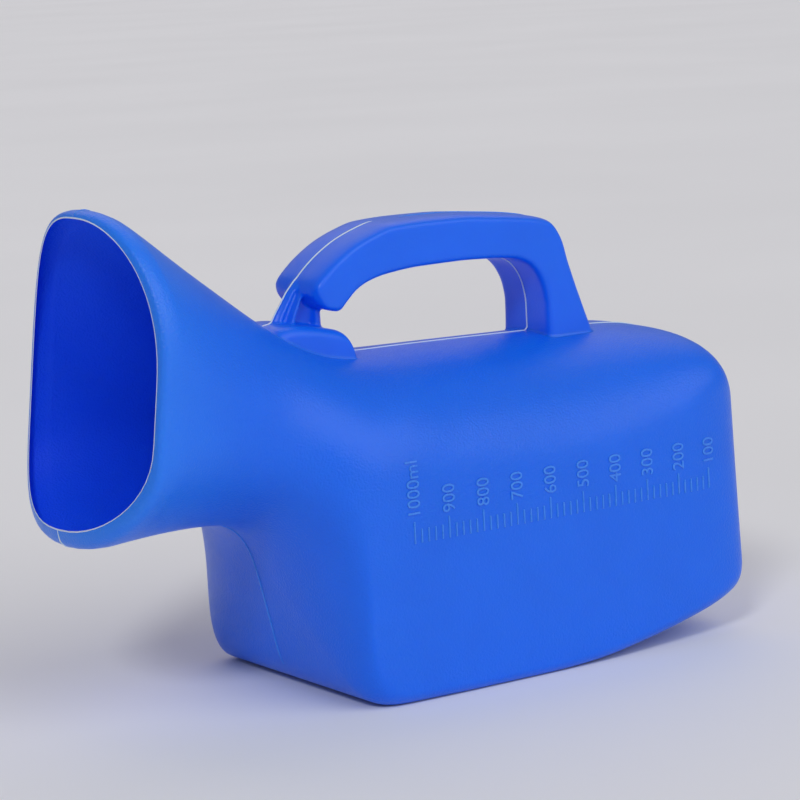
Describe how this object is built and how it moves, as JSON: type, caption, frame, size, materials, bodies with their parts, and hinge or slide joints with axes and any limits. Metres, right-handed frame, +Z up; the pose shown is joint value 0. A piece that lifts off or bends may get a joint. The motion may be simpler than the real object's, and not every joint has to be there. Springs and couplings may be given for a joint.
{
  "type": "urine bottle",
  "caption": "Flat-based blow-moulded urine bottle with a wide flared funnel mouth, a raised volume scale on one side and a carrying handle over the tank.",
  "frame": {"origin": "on the resting surface, under the middle of the bottle's overall length and width", "axes": "+X along the bottle's length from the mouth to the rear end, +Y across it, square to the mould's parting plane, +Z up with the bottle lying on its flat base"},
  "size_m": [0.2206, 0.094, 0.1503],
  "materials": {
    "blue_moulding": "satin, finely grained, slightly translucent blue polyethylene"
  },
  "bodies": {
    "root": {"mouth_lip": "blue_moulding", "funnel_neck": "blue_moulding", "tank_front": "blue_moulding", "tank_barrel": "blue_moulding", "tank_rear_end": "blue_moulding", "handle_saddle": "blue_moulding", "handle_post": "blue_moulding", "handle_grip": "blue_moulding", "handle_rear_leg": "blue_moulding"}
  },
  "joints": []
}
